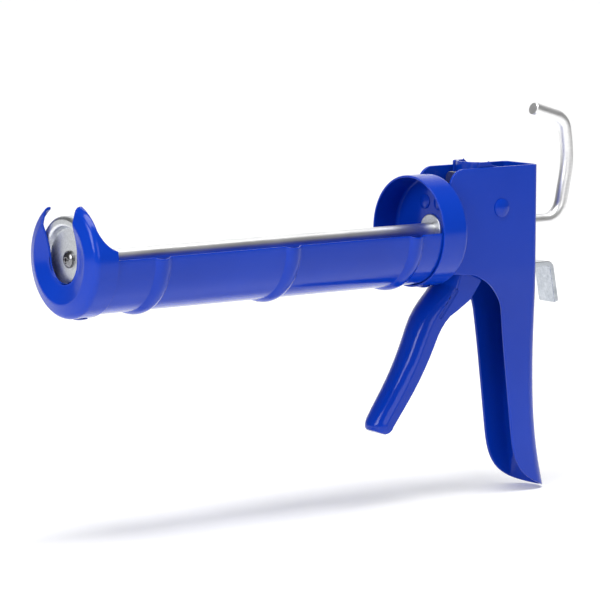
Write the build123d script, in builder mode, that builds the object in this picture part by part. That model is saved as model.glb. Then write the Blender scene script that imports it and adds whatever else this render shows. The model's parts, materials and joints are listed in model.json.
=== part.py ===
from build123d import *
import math
import os

# Caulking gun for a standard cartridge. X runs along the barrel from the nozzle to the handle,
# Z is up, and the origin is on the rod's axis at the outer face of the nozzle plate.

# Driving dimensions, mm
cradle_r = 27.1  # outside of the half-round cradle
cradle_sheet = 1.0
cradle_start_x = 3.0
cradle_end_x = 224.0
rim_z = -1.05  # height of the cradle's rim above the rod's axis, before the barrel's roll
barrel_roll = -5.0  # degrees about X that the barrel and its cap sit turned in the ring
bead_first_x = 38.9
bead_pitch = 78.0
bead_count = 3
bead_half_width = 4.6
bead_height = 1.8
bead_rim_dip = 1.1

cap_sheet = 1.2
cap_skirt_r = 27.75  # middle of the sheet
cap_skirt_end_x = 12.5
slot_r = 11.2
slot_wide = 12.7  # half width of the slot between the horns
slot_wide_z = 17.0
slot_tip = 13.0  # half width of the slot between the horns' tips

ring_sheet = 1.1
ring_r = 27.95  # middle of the sheet
ring_start_x = 211.9
plate_back_x = 228.5  # rear face of the ring's bottom, where the handle starts

rod_r = 3.5
rod_start_x = 5.5
hook_corners = [(314.2, 0), (320.8, 31.0), (317.6, 52.6)]
hook_radii = [12, 50, 9]
hook_end = (295.9, 58.9)

plunger_r = 20.2  # middle of the sheet
plunger_floor_r = 15.2
plunger_floor_x = 4.2
plunger_rim_x = 1.0
plunger_sheet = 1.2
screw_r = 2.0

rivet_r = 2.05  # rivet holes in the sheets
shell_rivet_places = [(y, z) for y in (-5.5, 5.5) for z in (-14.0, 14.0)]
guide_r = 5.5
rod_fit = 0.06  # running clearance of the rod in its guide, on radius

shell_sheet = 1.6
shell_front_x = 215.0  # in front of everything the shell keeps
shell_top_z = 31.2
shell_half_width = 13.2
grip_half_width = 11.2

pivot_x = 263.2
pivot_z = 10.0
pivot_shank_r = 3.0
sleeve_r = 3.9
pivot_fit = 0.06
washer_gap = 1.0

trigger_sheet = 1.5
trigger_half_width = shell_half_width - shell_sheet - washer_gap
trigger_tip_half_width = 8.0
trigger_bow = 6.0  # how far the channel's front bows out between its creases
nose_x = 247.0
nose_bottom_z = 13.0
ear_bottom_z = -16.0
groove_start = (236.0, -31.5)
groove_end = (226.0, -44.0)
groove_r = 0.9
groove_floor_y = 9.55
nose_top_z = 33.8

drive_plate_x = 243.4
drive_plate_thickness = 2.8
drive_plate_half_width = 8.4
drive_plate_bottom_z = -12.0
drive_plate_top_z = 28.5

lever_thickness = 2.5
lever_half_width = 6.3
lever_plate_x = 282.75
lever_tab_z = 12.75
lever_exit_z = -22.25
lever_hole_r = 4.6

drive_spring_r = 6.4  # middle of the wire
catch_spring_r = 5.1

os.makedirs("parts", exist_ok=True)


def barrel_outline(radius):
    """Half section of a barrel with its beads, for turning round the X axis."""
    with BuildSketch(Plane.XZ) as section:
        with BuildLine():
            here = (cradle_start_x, radius)
            Line((cradle_start_x, 0), here)
            for number in range(bead_count):
                middle = bead_first_x + number * bead_pitch
                foot = (middle - bead_half_width, radius)
                far_foot = (middle + bead_half_width, radius)
                Line(here, foot)
                ThreePointArc(foot, (middle, radius + bead_height), far_foot)
                here = far_foot
            Line(here, (cradle_end_x, radius))
            Polyline((cradle_end_x, radius), (cradle_end_x, 0), (cradle_start_x, 0))
        make_face()
        bead_feet = []
        for corner in section.vertices():
            if abs(corner.Z - radius) < 0.01 and cradle_start_x + 1 < corner.X < cradle_end_x - 1:
                bead_feet.append(corner)
        fillet(bead_feet, 2.5)
    return section.sketch


def rivet_outline(plane, shank_r, head_r, head_height, low, high):
    """Half section of a two-headed rivet. The plane's y axis is the rivet's own axis."""
    rim = head_height * 0.35
    dome = head_height - rim
    dome_r = (head_r**2 + dome**2) / (2 * dome)
    half_way = head_height - dome_r + math.sqrt(dome_r**2 - head_r**2 / 4)
    with BuildSketch(plane) as section:
        with BuildLine():
            Line((0, low - head_height), (0, high + head_height))
            ThreePointArc((0, high + head_height), (head_r / 2, high + half_way), (head_r, high + rim))
            Polyline((head_r, high + rim), (head_r, high), (shank_r, high), (shank_r, low))
            Polyline((shank_r, low), (head_r, low), (head_r, low - rim))
            ThreePointArc((head_r, low - rim), (head_r / 2, low - half_way), (0, low - head_height))
        make_face()
    return section.sketch


def coil(start_x, end_x, coil_r, wire_r, turns):
    """A compression spring round the rod, as long as the space between its two seats."""
    free = end_x - start_x - 2 * wire_r
    with BuildPart() as spring:
        with BuildLine() as wire_path:
            Helix(
                pitch=free / turns,
                height=free,
                radius=coil_r,
                center=(start_x + wire_r, 0, 0),
                direction=(1, 0, 0),
            )
        with BuildSketch(Plane(origin=wire_path.line @ 0, z_dir=wire_path.line % 0)):
            Circle(wire_r)
        sweep(path=wire_path.line, is_frenet=True)
    return spring.part


# Cradle: a half-round trough with three beads
cradle_rivet_places = [8.0, 220.0]
with BuildPart() as cradle:
    revolve(barrel_outline(cradle_r), axis=Axis.X)
    revolve(barrel_outline(cradle_r - cradle_sheet), axis=Axis.X, mode=Mode.SUBTRACT)
    dip_r = (bead_half_width**2 + bead_rim_dip**2) / (2 * bead_rim_dip)
    with BuildSketch(Plane.XZ):
        with Locations((cradle_end_x / 2, rim_z + cradle_r)):
            Rectangle(cradle_end_x + 20, 2 * cradle_r)
        for number in range(bead_count):
            with Locations((bead_first_x + number * bead_pitch, rim_z - bead_rim_dip + dip_r)):
                Circle(dip_r)
    extrude(amount=2 * cradle_r, both=True, mode=Mode.SUBTRACT)
    with Locations(*[(x, 0, -cradle_r) for x in cradle_rivet_places]):
        Cylinder(rivet_r, 6, mode=Mode.SUBTRACT)
cradle.part = cradle.part.rotate(Axis.X, barrel_roll)
cradle.part.label = "cradle"
export_step(cradle.part, "parts/cradle.step")

# Front cap: a pressed cup with a dished face, a nozzle slot and two horns
with BuildPart() as front_cap:
    with BuildSketch(Plane.XZ):
        with BuildLine():
            FilletPolyline(
                (cap_sheet / 2, 0),
                (cap_sheet / 2, 13.0),
                (-2.0, 21.2),
                (0.4, cap_skirt_r),
                (cap_skirt_end_x, cap_skirt_r),
                radius=[10, 1.8, 3],
            )
        trace(line_width=cap_sheet)
    revolve(axis=Axis.X)
    with BuildSketch(Plane.YZ):
        with BuildLine():
            ThreePointArc((slot_r, 0), (0, -slot_r), (-slot_r, 0))
            FilletPolyline(
                (-slot_r, 0),
                (-slot_wide, slot_wide_z),
                (-slot_tip, 27.0),
                (-slot_tip, 40.0),
                (slot_tip, 40.0),
                (slot_tip, 27.0),
                (slot_wide, slot_wide_z),
                (slot_r, 0),
                radius=[3, 4, 0, 0, 4, 3],
            )
        make_face()
    extrude(amount=40, both=True, mode=Mode.SUBTRACT)
    with BuildSketch(Plane.XZ):
        with BuildLine():
            ThreePointArc((3.4, 13.5), (6.3, 7.4), (cap_skirt_end_x + 0.5, 3.2))
            Polyline((cap_skirt_end_x + 0.5, 3.2), (30, 3.2), (30, 40), (3.4, 40), (3.4, 13.5))
        make_face()
    extrude(amount=40, both=True, mode=Mode.SUBTRACT)
    with Locations((cradle_rivet_places[0], 0, -cradle_r)):
        Cylinder(rivet_r, 6, mode=Mode.SUBTRACT)
front_cap.part = front_cap.part.rotate(Axis.X, barrel_roll)
front_cap.part.label = "front_cap"
export_step(front_cap.part, "parts/front_cap.step")

# Rear ring: a shallow pressed cup that holds the cradle and carries the handle
with BuildPart() as rear_ring:
    with BuildSketch(Plane.XZ):
        with BuildLine():
            plate_x = plate_back_x - ring_sheet / 2
            FilletPolyline((ring_start_x, ring_r), (plate_x, ring_r), (plate_x, 0), radius=2.2)
        trace(line_width=ring_sheet)
    revolve(axis=Axis.X)
    with BuildSketch(Plane.YZ.offset(plate_back_x - 4)):
        Circle(guide_r + 0.05)
        with Locations(*shell_rivet_places):
            Circle(rivet_r)
    extrude(amount=6, mode=Mode.SUBTRACT)
    with Locations(Location((cradle_rivet_places[1], 0, 0), (barrel_roll, 0, 0))):
        with Locations((0, 0, -cradle_r)):
            Cylinder(rivet_r, 6, mode=Mode.SUBTRACT)
rear_ring.part.label = "rear_ring"
export_step(rear_ring.part, "parts/rear_ring.step")

# Rivets at the bottom of the barrel, one through the cap and one through the ring
with BuildPart() as cradle_rivets:
    outsides = [cap_skirt_r + cap_sheet / 2, ring_r + ring_sheet / 2]
    for rivet_x, outside_r in zip(cradle_rivet_places, outsides):
        inside_z = -(cradle_r - cradle_sheet) + 0.25
        profile = rivet_outline(Plane((rivet_x, 0, 0), (1, 0, 0), (0, -1, 0)), rivet_r - 0.05, 3.4, 0.9,
                                -outside_r, inside_z)
        revolve(profile, axis=Axis((rivet_x, 0, 0), (0, 0, 1)))
cradle_rivets.part = cradle_rivets.part.rotate(Axis.X, barrel_roll)
cradle_rivets.part.label = "cradle_rivets"
export_step(cradle_rivets.part, "parts/cradle_rivets.step")

# Rivets that hold the handle shell's tabs to the ring's bottom
with BuildPart() as shell_rivets:
    front_x = plate_back_x - ring_sheet
    back_x = plate_back_x + shell_sheet
    for y, z in shell_rivet_places:
        plane = Plane((0, y, z), (0, 0, 1), (0, 1, 0))
        profile = rivet_outline(plane, rivet_r - 0.05, 3.8, 1.0, front_x, back_x)
        revolve(profile, axis=Axis((0, y, z), (1, 0, 0)))
shell_rivets.part.label = "shell_rivets"
export_step(shell_rivets.part, "parts/shell_rivets.step")

# Rod guide: a flanged eyelet in the ring's bottom
with BuildPart() as rod_guide:
    with BuildSketch(Plane.YZ.offset(plate_back_x - ring_sheet - 1.1)):
        Circle(8.0)
    extrude(amount=1.1)
    with BuildSketch(Plane.YZ.offset(plate_back_x - ring_sheet)):
        Circle(guide_r)
    extrude(amount=ring_sheet + 0.5)
    with BuildSketch(Plane.YZ.offset(plate_back_x - 10)):
        Circle(rod_r + rod_fit)
    extrude(amount=20, mode=Mode.SUBTRACT)
    fillet(rod_guide.edges().filter_by(GeomType.CIRCLE).sort_by(Axis.X)[:2].sort_by(SortBy.RADIUS)[-1], 0.5)
rod_guide.part.label = "rod_guide"
export_step(rod_guide.part, "parts/rod_guide.step")


def shell_section(z, back_x, half_width, bend_r):
    """Folded sheet at one height: two side walls and the back, with a bend at each corner."""
    inner = half_width - shell_sheet
    bend_x = back_x - bend_r
    bend_y = half_width - bend_r
    with BuildSketch(Plane.XY.offset(z)) as section:
        with BuildLine():
            Line((shell_front_x, -half_width), (bend_x, -half_width))
            RadiusArc((bend_x, -half_width), (back_x, -bend_y), -bend_r)
            Line((back_x, -bend_y), (back_x, bend_y))
            RadiusArc((back_x, bend_y), (bend_x, half_width), -bend_r)
            Polyline((bend_x, half_width), (shell_front_x, half_width), (shell_front_x, inner))
            Line((shell_front_x, inner), (bend_x, inner))
            RadiusArc((bend_x, inner), (back_x - shell_sheet, bend_y), bend_r - shell_sheet)
            Line((back_x - shell_sheet, bend_y), (back_x - shell_sheet, -bend_y))
            RadiusArc((back_x - shell_sheet, -bend_y), (bend_x, -inner), bend_r - shell_sheet)
            Polyline((bend_x, -inner), (shell_front_x, -inner), (shell_front_x, -half_width))
        make_face()
    return section.sketch


# height, back of the shell, half width, bend radius
shell_stations = [
    (-20.0, 289.0, shell_half_width, 3.6),
    (-24.0, 289.1, shell_half_width - 0.05, 3.8),
    (-40.0, 290.3, 12.2, 5.0),
    (-58.0, 291.2, 11.4, 6.5),
    (-78.0, 292.0, grip_half_width, 8.0),
    (-98.0, 293.2, grip_half_width, 8.8),
    (-118.0, 295.8, grip_half_width, 9.2),
    (-132.0, 298.8, grip_half_width, 9.4),
    (-146.0, 302.6, grip_half_width, 9.6),
]

# Handle shell: one folded sheet, closed at the back, open at the front and at the top
with BuildPart() as handle_shell:
    extrude(shell_section(*shell_stations[0]), amount=shell_top_z + 2 - shell_stations[0][0])
    loft([shell_section(*station) for station in shell_stations])
    with BuildSketch(Plane.XZ):
        with BuildLine():
            FilletPolyline(
                (plate_back_x, -22.3),
                (plate_back_x, shell_top_z),
                (320, shell_top_z),
                (320, -146),
                (312, -142.5),
                radius=[9, 0, 0],
            )
            Line((plate_back_x, -22.3), (241.0, -23.2))
            Spline(
                (241.0, -23.2),
                (251.0, -26.2),
                (258.2, -31.2),
                (262.9, -37.2),
                (265.7, -46.0),
                tangents=[(1, -0.07), (0.13, -1)],
            )
            Line((265.7, -46.0), (273.4, -107.0))
            Spline(
                (273.4, -107.0),
                (276.3, -121.0),
                (283.5, -131.5),
                (297.0, -138.6),
                (312.0, -142.5),
                tangents=[(0.13, -1), (1, -0.2)],
            )
        make_face()
    extrude(amount=40, both=True, mode=Mode.INTERSECT)
    # front tabs that meet the ring's bottom
    for y_side in (-1, 1):
        for z_side in (-1, 1):
            tab_width = shell_half_width - 1.0 - shell_sheet / 2
            tab_middle = (plate_back_x + shell_sheet / 2, y_side * (1.0 + tab_width / 2), z_side * 14.25)
            with Locations(tab_middle):
                Box(shell_sheet, tab_width, 11.5)
    with BuildSketch(Plane.YZ.offset(plate_back_x - 1)):
        with Locations(*shell_rivet_places):
            Circle(rivet_r)
    extrude(amount=4, mode=Mode.SUBTRACT)
    # one long opening in the back for the rod and the thumb lever, and a slit for its upper tab
    with BuildSketch(Plane.YZ.offset(280)):
        with Locations((0, -10.5)):
            RectangleRounded(15.0, 33.0, 3.0)
        with Locations((0, lever_tab_z)):
            Rectangle(9.2, 3.7)
    extrude(amount=20, mode=Mode.SUBTRACT)
    with Locations(Location((pivot_x, 0, pivot_z), (90, 0, 0))):
        Cylinder(pivot_shank_r + 0.05, 60, mode=Mode.SUBTRACT)
handle_shell.part.label = "handle_shell"
export_step(handle_shell.part, "parts/handle_shell.step")

# Pivot: a rivet across the shell, a sleeve over it and two washers beside the trigger
with BuildPart() as pivot_rivet:
    plane = Plane((pivot_x, 0, pivot_z), (1, 0, 0), (0, 0, 1))
    profile = rivet_outline(plane, pivot_shank_r, 4.8, 1.5, -shell_half_width, shell_half_width)
    revolve(profile, axis=Axis((pivot_x, 0, pivot_z), (0, 1, 0)))
pivot_rivet.part.label = "pivot_rivet"
export_step(pivot_rivet.part, "parts/pivot_rivet.step")

inner_half_width = shell_half_width - shell_sheet
with BuildPart() as pivot_sleeve:
    with BuildSketch(Plane.XZ):
        with Locations((pivot_x, pivot_z)):
            Circle(sleeve_r)
            Circle(pivot_shank_r + 0.05, mode=Mode.SUBTRACT)
    extrude(amount=inner_half_width, both=True)
pivot_sleeve.part.label = "pivot_sleeve"
export_step(pivot_sleeve.part, "parts/pivot_sleeve.step")

with BuildPart() as pivot_washers:
    with BuildSketch(Plane.XZ.offset(trigger_half_width + 0.05), Plane.XZ.offset(-inner_half_width)):
        with Locations((pivot_x, pivot_z)):
            Circle(7.0)
            Circle(sleeve_r + pivot_fit, mode=Mode.SUBTRACT)
    extrude(amount=inner_half_width - trigger_half_width - 0.05)
pivot_washers.part.label = "pivot_washers"
export_step(pivot_washers.part, "parts/pivot_washers.step")


def channel_plane(front_x, front_z, lean):
    """Plane across the trigger's channel: x points to the channel's open back, y across it."""
    back_dir = Vector(1, 0, 0).rotate(Axis.Y, -lean)
    return Plane(origin=(front_x, 0, front_z), x_dir=back_dir, z_dir=back_dir.cross(Vector(0, 1, 0)))


def channel_section(front_x, front_z, lean, depth, half_width):
    """Pressed channel: a bowed front and two flat sides that meet it at a crease."""
    inner = half_width - trigger_sheet
    inner_crease = trigger_bow + 0.6 * trigger_sheet
    with BuildSketch(channel_plane(front_x, front_z, lean)) as section:
        with BuildLine():
            ThreePointArc((trigger_bow, -half_width), (0, 0), (trigger_bow, half_width))
            Polyline((trigger_bow, half_width), (depth, half_width), (depth, inner), (inner_crease, inner))
            ThreePointArc((inner_crease, inner), (trigger_sheet, 0), (inner_crease, -inner))
            Polyline((inner_crease, -inner), (depth, -inner), (depth, -half_width))
            Line((depth, -half_width), (trigger_bow, -half_width))
        make_face()
    return section.sketch


# The trigger's front line in side view, from the ears down to the tip
trigger_line_top = [(233.4, ear_bottom_z), (233.4, -25.5), (216.6, -41.5)]
trigger_line_end = [(205.8, -67.5), (187.4, -93.6), (185.2, -99.4)]
trigger_line_radii = [13, 45, 150, 22]
trigger_station_count = 18


def trigger_depth(along):
    """Depth of the channel at a fraction of the way down the front line."""
    return 13.4 - 3.6 * along + 13.6 * max(0, 1 - along / 0.26) ** 2


# Trigger: a pressed channel with two ears at the pivot and a nose above the rod
with BuildPart() as trigger:
    with BuildLine(Plane.XZ) as trigger_line:
        FilletPolyline(*trigger_line_top, *trigger_line_end, radius=trigger_line_radii)
    line = trigger_line.wire()
    stations = []
    for station in range(trigger_station_count):
        along = station / (trigger_station_count - 1)
        point = line @ along
        lean = math.degrees(math.atan2((line % along).X, -(line % along).Z))
        half_width = trigger_half_width - (trigger_half_width - trigger_tip_half_width) * along
        stations.append((point.X, point.Z, lean, trigger_depth(along), half_width))
    extrude(channel_section(*stations[0]), amount=7.0)
    loft([channel_section(*station) for station in stations], ruled=True)
    # the channel's closed lower end
    tip_x, tip_z, tip_lean, tip_depth, tip_half_width = stations[-1]
    with BuildSketch(channel_plane(tip_x, tip_z, tip_lean)):
        with BuildLine():
            side = tip_half_width - 0.4
            back = tip_depth - 0.3
            ThreePointArc((trigger_bow, -side), (0.4, 0), (trigger_bow, side))
            Polyline((trigger_bow, side), (back, side), (back, -side), (trigger_bow, -side))
        make_face()
    extrude(amount=trigger_sheet)
    # two flat ears
    for y_side in (-1, 1):
        with BuildSketch(Plane.XZ.offset(y_side * (trigger_half_width - trigger_sheet / 2))):
            with BuildLine():
                FilletPolyline(
                    (240.0, ear_bottom_z),
                    (240.0, -9.0),
                    (nose_x + 3, 3.0),
                    (nose_x + 3, nose_top_z),
                    (nose_x + 10, nose_top_z),
                    (nose_x + 13, nose_top_z - 2.2),
                    (nose_x + 28, 29.2),
                    (nose_x + 31, 18.0),
                    (nose_x + 30, -6.0),
                    (264.0, ear_bottom_z),
                    (240.0, ear_bottom_z),
                    radius=[0, 4, 6, 1, 2, 6, 5, 8, 8, 4],
                )
            make_face()
        extrude(amount=trigger_sheet / 2, both=True)
    # the nose above the rod, which presses on the drive plate
    extrude(
        channel_section(nose_x, nose_bottom_z, 0, 10.0, trigger_half_width),
        amount=nose_top_z - nose_bottom_z,
    )
    with Locations(Location((pivot_x, 0, pivot_z), (90, 0, 0))):
        Cylinder(sleeve_r + pivot_fit, 60, mode=Mode.SUBTRACT)
    # a straight stiffening groove pressed into each side
    for y_side in (-1, 1):
        with BuildSketch(Plane.XZ.offset(y_side * groove_floor_y)):
            with BuildLine():
                groove = Line(groove_start, groove_end)
            trace(line_width=2 * groove_r)
            with Locations(groove @ 0, groove @ 1):
                Circle(groove_r)
        extrude(amount=y_side * 3, mode=Mode.SUBTRACT)
trigger.part.label = "trigger"
export_step(trigger.part, "parts/trigger.step")

# Drive plate: a hardened plate that the trigger's nose tilts on the rod
with BuildPart() as drive_plate:
    with BuildSketch(Plane.YZ.offset(drive_plate_x)):
        with Locations((0, (drive_plate_top_z + drive_plate_bottom_z) / 2)):
            RectangleRounded(2 * drive_plate_half_width, drive_plate_top_z - drive_plate_bottom_z, 3.5)
        Circle(rod_r + 0.4, mode=Mode.SUBTRACT)
    extrude(amount=drive_plate_thickness)
    chamfer(drive_plate.edges().filter_by(GeomType.CIRCLE).filter_by(lambda e: e.radius > 3.45), 0.3)
drive_plate.part.label = "drive_plate"
export_step(drive_plate.part, "parts/drive_plate.step")

# Drive spring and its washer, between the ring and the drive plate
washer_thickness = 1.0
with BuildPart() as drive_spring_washer:
    with BuildSketch(Plane.YZ.offset(plate_back_x)):
        Circle(8.0)
        Circle(guide_r + 0.1, mode=Mode.SUBTRACT)
    extrude(amount=washer_thickness)
drive_spring_washer.part.label = "drive_spring_washer"
export_step(drive_spring_washer.part, "parts/drive_spring_washer.step")

drive_spring_start = plate_back_x + washer_thickness
drive_spring = coil(drive_spring_start, drive_plate_x, drive_spring_r, 0.6, 3)
drive_spring.label = "drive_spring"
export_step(drive_spring, "parts/drive_spring.step")

# Catch spring, between the drive plate and the thumb lever
lever_front_x = lever_plate_x - lever_thickness / 2
catch_spring = coil(drive_plate_x + drive_plate_thickness, lever_front_x, catch_spring_r, 0.45, 9)
catch_spring.label = "catch_spring"
export_step(catch_spring, "parts/catch_spring.step")

# Thumb lever: a bent strip that hangs in the shell's back and grips the rod with its middle
with BuildPart() as thumb_lever:
    with BuildSketch(Plane.XZ):
        with BuildLine():
            FilletPolyline(
                (291.5, lever_tab_z),
                (lever_plate_x, lever_tab_z),
                (lever_plate_x, lever_exit_z),
                (304.4, lever_exit_z),
                (308.4, -43.0),
                radius=[2.2, 2.6, 3.2],
            )
        trace(line_width=lever_thickness)
    extrude(amount=lever_half_width, both=True)
    tab_top = lever_tab_z + lever_thickness
    for y_side in (-1, 1):
        with Locations((lever_plate_x + 5.5, y_side * (lever_half_width + 4.0) / 2, tab_top - 2.5)):
            Box(8.0, lever_half_width - 4.0, 6, mode=Mode.SUBTRACT)
    with Locations(Location((lever_plate_x, 0, 0), (0, 90, 0))):
        Cylinder(lever_hole_r, 3 * lever_thickness, mode=Mode.SUBTRACT)
    end_face = thumb_lever.faces().sort_by(Axis.Z)[0]
    fillet(end_face.edges().sort_by(SortBy.LENGTH)[:2], 1.0)
thumb_lever.part.label = "thumb_lever"
export_step(thumb_lever.part, "parts/thumb_lever.step")

# Push rod: smooth bar, its rear end bent up into a hanging hook
with BuildPart() as push_rod:
    with BuildLine(Plane.XZ) as rod_line:
        FilletPolyline((rod_start_x, 0), *hook_corners, hook_end, radius=hook_radii)
    with BuildSketch(Plane.YZ.offset(rod_start_x)):
        Circle(rod_r)
    sweep(path=rod_line.line)
    with BuildSketch(Plane.YZ.offset(rod_start_x)):
        Circle(screw_r + 0.05)
    extrude(amount=12, mode=Mode.SUBTRACT)
    ends = push_rod.faces().filter_by(GeomType.PLANE)
    chamfer(ends.sort_by(Axis.Z)[-1].edges(), 0.5)
push_rod.part.label = "push_rod"
export_step(push_rod.part, "parts/push_rod.step")

# Plunger: a dished plate, a washer behind it, and a screw with its spring washer
with BuildPart() as plunger_plate:
    with BuildSketch(Plane.XZ):
        with BuildLine():
            FilletPolyline(
                (plunger_floor_x, 0),
                (plunger_floor_x, plunger_floor_r),
                (plunger_rim_x, plunger_floor_r + 1.4),
                (plunger_rim_x, plunger_r),
                (plunger_rim_x + 5.5, plunger_r),
                radius=[1.0, 1.0, 1.2],
            )
        trace(line_width=plunger_sheet)
    revolve(axis=Axis.X)
    with BuildSketch(Plane.YZ.offset(-5)):
        Circle(screw_r + 0.3)
    extrude(amount=20, mode=Mode.SUBTRACT)
plunger_plate.part.label = "plunger_plate"
export_step(plunger_plate.part, "parts/plunger_plate.step")

plunger_back_x = plunger_floor_x + plunger_sheet / 2
plunger_front_x = plunger_floor_x - plunger_sheet / 2
with BuildPart() as plunger_backing_washer:
    with BuildSketch(Plane.YZ.offset(plunger_back_x)):
        Circle(9.0)
        Circle(screw_r + 0.3, mode=Mode.SUBTRACT)
    extrude(amount=rod_start_x - plunger_back_x)
    rims = plunger_backing_washer.edges().filter_by(GeomType.CIRCLE).sort_by(SortBy.RADIUS)
    chamfer(rims[-2:], 0.3)
plunger_backing_washer.part.label = "plunger_backing_washer"
export_step(plunger_backing_washer.part, "parts/plunger_backing_washer.step")

lock_washer_thickness = 0.7
with BuildPart() as plunger_lock_washer:
    with BuildSketch(Plane.YZ.offset(plunger_front_x - lock_washer_thickness)):
        Circle(4.2)
        Circle(screw_r + 0.1, mode=Mode.SUBTRACT)
        with Locations((0, 3.2)):
            Rectangle(0.6, 3.0, mode=Mode.SUBTRACT)
    extrude(amount=lock_washer_thickness)
plunger_lock_washer.part.label = "plunger_lock_washer"
export_step(plunger_lock_washer.part, "parts/plunger_lock_washer.step")

with BuildPart() as plunger_screw:
    head_back_x = plunger_front_x - lock_washer_thickness
    head_height = 1.5
    with BuildSketch(Plane.XZ):
        with BuildLine():
            Line((head_back_x - head_height, 0), (head_back_x - head_height, 1.0))
            ThreePointArc(
                (head_back_x - head_height, 1.0),
                (head_back_x - head_height * 0.75, 2.8),
                (head_back_x - head_height * 0.25, 3.8),
            )
            Polyline(
                (head_back_x - head_height * 0.25, 3.8),
                (head_back_x, 3.8),
                (head_back_x, screw_r),
                (rod_start_x + 9.5, screw_r),
                (rod_start_x + 10.3, screw_r - 0.8),
                (rod_start_x + 10.3, 0),
                (head_back_x - head_height, 0),
            )
        make_face()
    revolve(axis=Axis.X)
    # cross recess
    with BuildSketch(Plane.YZ.offset(head_back_x - head_height)):
        Rectangle(4.2, 0.9)
        Rectangle(0.9, 4.2)
    extrude(amount=1.1, taper=12, mode=Mode.SUBTRACT)
plunger_screw.part.label = "plunger_screw"
export_step(plunger_screw.part, "parts/plunger_screw.step")
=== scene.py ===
import json
import math

import bmesh
import bpy
from mathutils import Matrix, Vector

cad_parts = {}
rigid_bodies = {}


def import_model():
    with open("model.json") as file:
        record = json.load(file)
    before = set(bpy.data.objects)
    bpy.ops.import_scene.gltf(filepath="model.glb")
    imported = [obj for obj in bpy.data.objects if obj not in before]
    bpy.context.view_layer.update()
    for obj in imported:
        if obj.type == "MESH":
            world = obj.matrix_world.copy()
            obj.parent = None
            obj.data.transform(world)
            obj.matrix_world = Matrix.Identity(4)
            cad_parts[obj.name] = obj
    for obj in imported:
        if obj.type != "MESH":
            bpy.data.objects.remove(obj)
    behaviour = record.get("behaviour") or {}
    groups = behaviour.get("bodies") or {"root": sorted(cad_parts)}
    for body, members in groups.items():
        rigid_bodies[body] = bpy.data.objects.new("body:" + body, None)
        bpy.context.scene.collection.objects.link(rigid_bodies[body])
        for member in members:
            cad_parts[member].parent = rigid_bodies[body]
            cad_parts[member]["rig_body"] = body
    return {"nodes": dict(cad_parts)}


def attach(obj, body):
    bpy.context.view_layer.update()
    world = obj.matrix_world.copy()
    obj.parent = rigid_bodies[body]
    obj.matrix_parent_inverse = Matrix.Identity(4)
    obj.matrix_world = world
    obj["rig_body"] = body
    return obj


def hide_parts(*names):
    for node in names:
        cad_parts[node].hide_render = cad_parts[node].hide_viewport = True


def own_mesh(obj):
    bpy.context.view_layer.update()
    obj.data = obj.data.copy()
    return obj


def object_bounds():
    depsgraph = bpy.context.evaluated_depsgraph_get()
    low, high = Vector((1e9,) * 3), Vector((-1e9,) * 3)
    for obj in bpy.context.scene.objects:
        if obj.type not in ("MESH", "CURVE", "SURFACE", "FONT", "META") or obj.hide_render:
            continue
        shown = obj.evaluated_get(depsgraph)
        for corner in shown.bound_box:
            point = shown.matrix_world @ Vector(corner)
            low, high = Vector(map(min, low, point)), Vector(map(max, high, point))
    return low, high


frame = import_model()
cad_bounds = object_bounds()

# Caulking gun: folded and pressed sheet steel in glossy blue paint, zinc-plated rod and levers.


# ---------------------------------------------------------------- shared surface effects

def new_group(name, inputs, outputs):
    """An empty shader group with named value inputs and outputs, and its two end nodes."""
    group = bpy.data.node_groups.new(name, "ShaderNodeTree")
    for label, value in inputs:
        socket = group.interface.new_socket(label, in_out="INPUT", socket_type="NodeSocketFloat")
        socket.default_value = value
    for label in outputs:
        group.interface.new_socket(label, in_out="OUTPUT", socket_type="NodeSocketFloat")
    return group, group.nodes.new("NodeGroupInput"), group.nodes.new("NodeGroupOutput")


def math_node(nodes, links, operation, first, second):
    """A Math node on two values, each a number or an output socket."""
    node = nodes.new("ShaderNodeMath")
    node.operation = operation
    for place, value in enumerate((first, second)):
        if isinstance(value, (int, float)):
            node.inputs[place].default_value = value
        else:
            links.new(value, node.inputs[place])
    return node.outputs[0]


def noise(nodes, links, vector, scale, detail=2.0, roughness=0.5):
    """A noise texture's value, at so many features a metre."""
    node = nodes.new("ShaderNodeTexNoise")
    node.inputs["Detail"].default_value = detail
    node.inputs["Roughness"].default_value = roughness
    if isinstance(scale, (int, float)):
        node.inputs["Scale"].default_value = scale
    else:
        links.new(scale, node.inputs["Scale"])
    links.new(vector, node.inputs["Vector"])
    return node.outputs["Fac"]


def make_paint_skin():
    """Sprayed enamel: fine orange peel, slow changes of tone and sparse dust nibs."""
    group, ins, outs = new_group("paint_skin", [("Peel Scale", 420.0)], ["Height", "Tone", "Nibs"])
    nodes, links = group.nodes, group.links
    place = nodes.new("ShaderNodeTexCoord").outputs["Object"]
    peel = noise(nodes, links, place, ins.outputs["Peel Scale"], 1.5)
    wide = noise(nodes, links, place, 60.0, 2.0)
    links.new(math_node(nodes, links, "ADD", peel, math_node(nodes, links, "MULTIPLY", wide, 1.6)),
              outs.inputs["Height"])
    links.new(noise(nodes, links, place, 14.0, 3.0), outs.inputs["Tone"])
    specks = noise(nodes, links, place, 900.0, 1.0)
    step = nodes.new("ShaderNodeMapRange")
    step.inputs["From Min"].default_value = 0.74
    step.inputs["From Max"].default_value = 0.80
    links.new(specks, step.inputs["Value"])
    links.new(step.outputs["Result"], outs.inputs["Nibs"])
    return group


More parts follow.
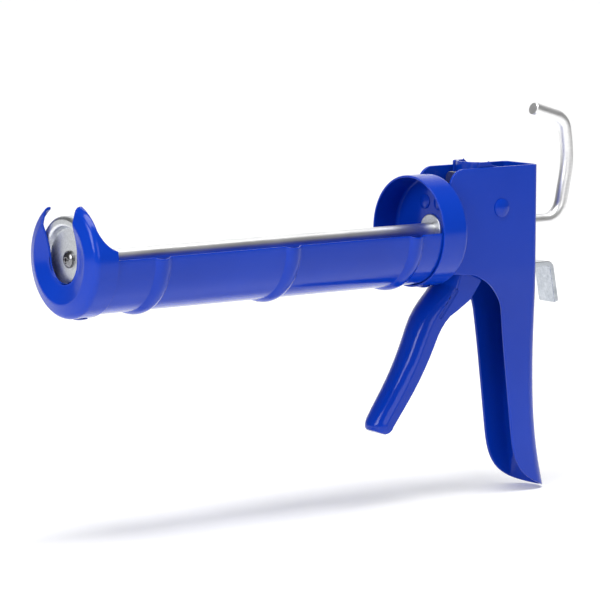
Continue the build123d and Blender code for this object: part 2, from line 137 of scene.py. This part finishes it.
def make_drawn_lines():
    """Fine lines left along the X axis by drawing or brushing, with a few stronger ones."""
    group, ins, outs = new_group("drawn_lines", [("Across Scale", 900.0)], ["Lines", "Cloud"])
    nodes, links = group.nodes, group.links
    place = nodes.new("ShaderNodeTexCoord").outputs["Object"]
    stretch = nodes.new("ShaderNodeVectorMath")
    stretch.operation = "MULTIPLY"
    stretch.inputs[1].default_value = (0.018, 1.0, 1.0)
    links.new(place, stretch.inputs[0])
    fine = noise(nodes, links, stretch.outputs[0], ins.outputs["Across Scale"], 3.0, 0.6)
    broad = noise(nodes, links, stretch.outputs[0], 260.0, 1.0)
    both = math_node(nodes, links, "ADD", math_node(nodes, links, "MULTIPLY", fine, 0.6),
                     math_node(nodes, links, "MULTIPLY", broad, 0.4))
    links.new(both, outs.inputs["Lines"])
    links.new(noise(nodes, links, place, 45.0, 3.0), outs.inputs["Cloud"])
    return group


def make_plating_grain():
    """Zinc plating: a fine crystalline mottle over cloudy patches."""
    group, ins, outs = new_group("plating_grain", [("Grain Scale", 1400.0)], ["Grain", "Cloud"])
    nodes, links = group.nodes, group.links
    place = nodes.new("ShaderNodeTexCoord").outputs["Object"]
    cells = nodes.new("ShaderNodeTexVoronoi")
    links.new(ins.outputs["Grain Scale"], cells.inputs["Scale"])
    links.new(place, cells.inputs["Vector"])
    mottle = noise(nodes, links, place, 700.0, 3.0, 0.6)
    both = math_node(nodes, links, "ADD", math_node(nodes, links, "MULTIPLY", cells.outputs["Distance"], 0.4),
                     math_node(nodes, links, "MULTIPLY", mottle, 0.6))
    links.new(both, outs.inputs["Grain"])
    links.new(noise(nodes, links, place, 70.0, 3.0), outs.inputs["Cloud"])
    return group


paint_skin = make_paint_skin()
drawn_lines = make_drawn_lines()
plating_grain = make_plating_grain()


# ---------------------------------------------------------------- materials

def start_material(name, group):
    """A material with a Principled shader and one shared effect placed in it."""
    material = bpy.data.materials.new(name)
    material.use_nodes = True
    nodes, links = material.node_tree.nodes, material.node_tree.links
    shader = nodes["Principled BSDF"]
    effect = nodes.new("ShaderNodeGroup")
    effect.node_tree = group
    return material, nodes, links, shader, effect


def spread(nodes, links, value, low, high):
    """A value from 0 to 1 spread between low and high."""
    node = nodes.new("ShaderNodeMapRange")
    node.inputs["From Min"].default_value = 0.3
    node.inputs["From Max"].default_value = 0.7
    node.inputs["To Min"].default_value = low
    node.inputs["To Max"].default_value = high
    links.new(value, node.inputs["Value"])
    return node.outputs["Result"]


def two_tones(nodes, links, value, dark, light):
    """A colour that goes from dark to light as the value goes from 0.3 to 0.7."""
    ramp = nodes.new("ShaderNodeValToRGB")
    ramp.color_ramp.elements[0].position = 0.3
    ramp.color_ramp.elements[1].position = 0.7
    ramp.color_ramp.elements[0].color = (*dark, 1)
    ramp.color_ramp.elements[1].color = (*light, 1)
    links.new(value, ramp.inputs["Fac"])
    return ramp.outputs["Color"]


def bump(nodes, links, shader, height, strength, distance):
    """Relief of a height value on the shader's normal, at so deep a distance in metres."""
    node = nodes.new("ShaderNodeBump")
    node.inputs["Strength"].default_value = strength
    node.inputs["Distance"].default_value = distance
    links.new(height, node.inputs["Height"])
    links.new(node.outputs["Normal"], shader.inputs["Normal"])


def make_paint(name, dark, light, gloss_low, gloss_high, peel):
    """Glossy enamel between two tones, with orange peel of a given strength."""
    material, nodes, links, shader, skin = start_material(name, paint_skin)
    colour = two_tones(nodes, links, skin.outputs["Tone"], dark, light)
    links.new(colour, shader.inputs["Base Color"])
    rough = spread(nodes, links, skin.outputs["Tone"], gloss_low, gloss_high)
    nibs = math_node(nodes, links, "MULTIPLY", skin.outputs["Nibs"], 0.1)
    links.new(math_node(nodes, links, "ADD", rough, nibs), shader.inputs["Roughness"])
    shader.inputs["Specular IOR Level"].default_value = 0.22
    shader.inputs["Coat Weight"].default_value = 0.12
    shader.inputs["Coat Roughness"].default_value = 0.05
    bump(nodes, links, shader, skin.outputs["Height"], peel, 0.00006)
    return material


def make_metal(name, group, value, dark, light, rough_low, rough_high, grain, scale=None):
    """Bare or plated metal whose tone and relief follow one of the shared effects."""
    material, nodes, links, shader, effect = start_material(name, group)
    if scale is not None:
        effect.inputs[0].default_value = scale
    links.new(two_tones(nodes, links, effect.outputs[value], dark, light), shader.inputs["Base Color"])
    rough = spread(nodes, links, effect.outputs["Cloud"], rough_low, rough_high)
    links.new(rough, shader.inputs["Roughness"])
    shader.inputs["Metallic"].default_value = 1.0
    bump(nodes, links, shader, effect.outputs[value], grain, 0.00004)
    return material


blue_enamel = make_paint("blue_enamel", (0.0012, 0.032, 0.37), (0.002, 0.040, 0.43), 0.13, 0.19, 0.16)
finishes = {
    "blue_paint": blue_enamel,
    "zinc_bar": make_metal("drawn_zinc", drawn_lines, "Lines", (0.84, 0.84, 0.85), (0.97, 0.97, 0.96),
                           0.36, 0.46, 0.07),
    "zinc_bright": make_metal("bright_zinc", drawn_lines, "Lines", (0.36, 0.39, 0.43), (0.56, 0.59, 0.63),
                              0.14, 0.24, 0.08, 700.0),
    "zinc_plate": make_metal("matte_zinc", plating_grain, "Grain", (0.62, 0.64, 0.66), (0.80, 0.82, 0.84),
                             0.30, 0.44, 0.30),
    "spring_steel": make_metal("spring_wire", drawn_lines, "Lines", (0.30, 0.30, 0.31), (0.46, 0.46, 0.47),
                               0.22, 0.34, 0.20, 1600.0),
    "hardened_steel": make_metal("ground_steel", drawn_lines, "Lines", (0.38, 0.37, 0.36), (0.56, 0.55, 0.54),
                                 0.26, 0.40, 0.35),
    "dark_nickel": make_metal("dark_nickel", plating_grain, "Grain", (0.16, 0.16, 0.17), (0.30, 0.30, 0.31),
                              0.18, 0.30, 0.20, 2200.0),
}


# ---------------------------------------------------------------- pieces

weld_distance = 0.000004
flat_within = math.radians(0.4)  # faces that turn less than this become one

def finished_copy(node, name, edge_r, crease_deg=32.0):
    """A piece with the node's shape whose sheared edges are rounded off, as pressed sheet has them."""
    source = frame["nodes"][node]
    mesh = source.data.copy()
    mesh.name = name
    mesh.materials.clear()
    work = bmesh.new()
    work.from_mesh(mesh)
    bmesh.ops.remove_doubles(work, verts=work.verts, dist=weld_distance)
    bmesh.ops.dissolve_limit(work, angle_limit=flat_within, verts=work.verts, edges=work.edges)
    bmesh.ops.recalc_face_normals(work, faces=work.faces)
    for face in work.faces:
        face.smooth = True
    work.to_mesh(mesh)
    work.free()
    piece = bpy.data.objects.new(name, mesh)
    bpy.context.scene.collection.objects.link(piece)
    rounding = piece.modifiers.new("rounded_edges", "BEVEL")
    rounding.width = edge_r
    rounding.segments = 2
    rounding.limit_method = "ANGLE"
    rounding.angle_limit = math.radians(crease_deg)
    rounding.use_clamp_overlap = False
    even = piece.modifiers.new("even_shading", "WEIGHTED_NORMAL")
    even.mode = "FACE_AREA"
    even.weight = 60
    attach(piece, source["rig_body"])
    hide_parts(node)
    return piece


tip_cuts = (1.0, 0.8, 0.6, 0.42, 0.27, 0.15, 0.06)  # where the rounding gets its edge loops


def round_off_tip(mesh, tip, along, back, half_depth, length, share):
    """Draws a channel's closed end in over its last length, so that it ends in a rounded nose."""
    work = bmesh.new()
    work.from_mesh(mesh)
    for part in tip_cuts:
        everything = list(work.verts) + list(work.edges) + list(work.faces)
        bmesh.ops.bisect_plane(work, geom=everything, plane_co=tip - along * length * part, plane_no=along,
                               dist=0.00002)
    middle = tip + back * half_depth
    for vert in work.verts:
        reach = (vert.co - tip).dot(along) / length + 1
        if reach <= 0:
            continue
        draw = 1 - share * (1 - math.sqrt(max(0.0, 1 - min(reach, 1.0) ** 2)))
        deep = (vert.co - middle).dot(back)
        vert.co -= back * deep * (1 - draw)
        vert.co.y *= draw
    for face in work.faces:
        face.smooth = True
    work.to_mesh(mesh)
    work.free()


def give(piece, slot):
    """Lays the slot's finish on a piece."""
    piece.data.materials.clear()
    piece.data.materials.append(finishes[slot])


sheet_pieces = [
    ("cradle", "trough", 0.00028, "blue_paint"),
    ("front_cap", "nozzle_cap", 0.00035, "blue_paint"),
    ("rear_ring", "ring_cup", 0.00030, "blue_paint"),
    ("handle_shell", "folded_handle", 0.00045, "blue_paint"),
    ("trigger", "pressed_trigger", 0.00040, "blue_paint"),
    ("thumb_lever", "bent_lever", 0.00030, "zinc_bright"),
    ("drive_plate", "gripping_plate", 0.00025, "hardened_steel"),
    ("plunger_plate", "dished_plunger", 0.00030, "zinc_plate"),
]
for node_name, piece_name, edge, slot_name in sheet_pieces:
    give(finished_copy(node_name, piece_name, edge), slot_name)

trigger_tip = Vector((0.1852, 0.0, -0.0994))
down_trigger = Vector((-0.355, 0.0, -0.935))
behind_trigger = Vector((0.935, 0.0, -0.355))
round_off_tip(bpy.data.objects["pressed_trigger"].data, trigger_tip, down_trigger, behind_trigger,
              half_depth=0.0049, length=0.0042, share=0.42)


def sprung_copy(node, name):
    """A smooth-shaded piece with a spring's shape, which takes the spring node's place on its body."""
    source = frame["nodes"][node]
    mesh = source.data.copy()
    mesh.name = name
    mesh.materials.clear()
    for face in mesh.polygons:
        face.use_smooth = True
    piece = bpy.data.objects.new(name, mesh)
    bpy.context.scene.collection.objects.link(piece)
    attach(piece, source["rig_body"])
    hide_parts(node)
    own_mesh(piece)
    return piece


give(sprung_copy("drive_spring", "drive_coil"), "spring_steel")
give(sprung_copy("catch_spring", "catch_coil"), "spring_steel")

kept_nodes = {
    "push_rod": "zinc_bar",
    "cradle_rivets": "blue_paint",
    "shell_rivets": "blue_paint",
    "pivot_rivet": "blue_paint",
    "pivot_sleeve": "zinc_plate",
    "pivot_washers": "zinc_plate",
    "rod_guide": "zinc_plate",
    "drive_spring_washer": "zinc_plate",
    "plunger_backing_washer": "zinc_plate",
    "plunger_lock_washer": "dark_nickel",
    "plunger_screw": "dark_nickel",
}
for node_name, slot_name in kept_nodes.items():
    for place in frame["nodes"][node_name].material_slots:
        place.material = finishes[slot_name]


# ---------------------------------------------------------------- floor, light and camera

aim = Vector((0.1420, 0.0, -0.0299))
eye = Vector((-0.9313, -1.3724, 0.1927))
floor_gap = 0.0005
floor_z = cad_bounds[0][2] - floor_gap


def make_sweep():
    """A pale floor that curves up into a backdrop behind the tool."""
    away = Vector((aim.x - eye.x, aim.y - eye.y, 0)).normalized()
    across = Vector((away.y, -away.x, 0))
    front, bend_start, bend_r, top, steps = -6.0, 2.2, 1.5, 5.0, 12
    profile = [(front, 0.0), (bend_start, 0.0)]
    for step in range(1, steps + 1):
        turn = math.radians(90 * step / steps)
        profile.append((bend_start + bend_r * math.sin(turn), bend_r * (1 - math.cos(turn))))
    profile.append((bend_start + bend_r, top))
    mesh = bpy.data.meshes.new("studio_sweep")
    points = []
    for distance, height in profile:
        for side in (-4, 4):
            spot = aim + away * distance + across * side
            points.append((spot.x, spot.y, floor_z + height))
    faces = [(2 * i, 2 * i + 1, 2 * i + 3, 2 * i + 2) for i in range(len(profile) - 1)]
    mesh.from_pydata(points, [], faces)
    for face in mesh.polygons:
        face.use_smooth = True
    sweep = bpy.data.objects.new("studio_sweep", mesh)
    bpy.context.scene.collection.objects.link(sweep)
    paper = bpy.data.materials.new("white_paper")
    paper.use_nodes = True
    shader = paper.node_tree.nodes["Principled BSDF"]
    shader.inputs["Base Color"].default_value = (0.93, 0.93, 0.93, 1)
    shader.inputs["Roughness"].default_value = 0.9
    shader.inputs["Emission Color"].default_value = (1, 1, 1, 1)
    shader.inputs["Emission Strength"].default_value = 0.14
    mesh.materials.append(paper)


def soft_light(name, spot, size, power, toward=aim):
    """A rectangular soft light at a spot, pointed at the tool unless told otherwise."""
    data = bpy.data.lights.new(name, "AREA")
    data.shape = "RECTANGLE"
    data.size, data.size_y = size
    data.energy = power
    light = bpy.data.objects.new(name, data)
    light.location = spot
    light.rotation_euler = (Vector(toward) - Vector(spot)).to_track_quat("-Z", "Y").to_euler()
    bpy.context.scene.collection.objects.link(light)


make_sweep()
soft_light("overhead", (0.15, -0.35, 1.7), (1.9, 0.8), 31)
soft_light("key_left", (-2.0, -0.5, 1.1), (1.0, 1.5), 35)
soft_light("backdrop_wash", (1.1, 1.2, 2.3), (1.6, 0.6), 34, (2.3, 2.8, 0.5))
soft_light("fill_front", (-0.35, -2.7, 1.0), (1.5, 1.3), 13)

world = bpy.data.worlds.new("studio_air")
bpy.context.scene.world = world
world.use_nodes = True
air = world.node_tree.nodes["Background"]
air.inputs["Color"].default_value = (1, 1, 1, 1)
seen = world.node_tree.nodes.new("ShaderNodeLightPath")
strength = world.node_tree.nodes.new("ShaderNodeMapRange")
strength.inputs["To Min"].default_value = 0.14
strength.inputs["To Max"].default_value = 0.96
world.node_tree.links.new(seen.outputs["Is Camera Ray"], strength.inputs["Value"])
world.node_tree.links.new(strength.outputs["Result"], air.inputs["Strength"])

camera_data = bpy.data.cameras.new("studio_camera")
camera_data.lens = 211.7
camera_data.sensor_width = 36
camera_data.clip_start = 0.05
camera = bpy.data.objects.new("studio_camera", camera_data)
camera.location = eye
look = (aim - eye).to_track_quat("-Z", "Y").to_matrix().to_4x4()
camera.matrix_world = Matrix.Translation(eye) @ look @ Matrix.Rotation(math.radians(0.14), 4, "Z")
bpy.context.scene.collection.objects.link(camera)
bpy.context.scene.camera = camera
bpy.context.scene.view_settings.view_transform = "Standard"
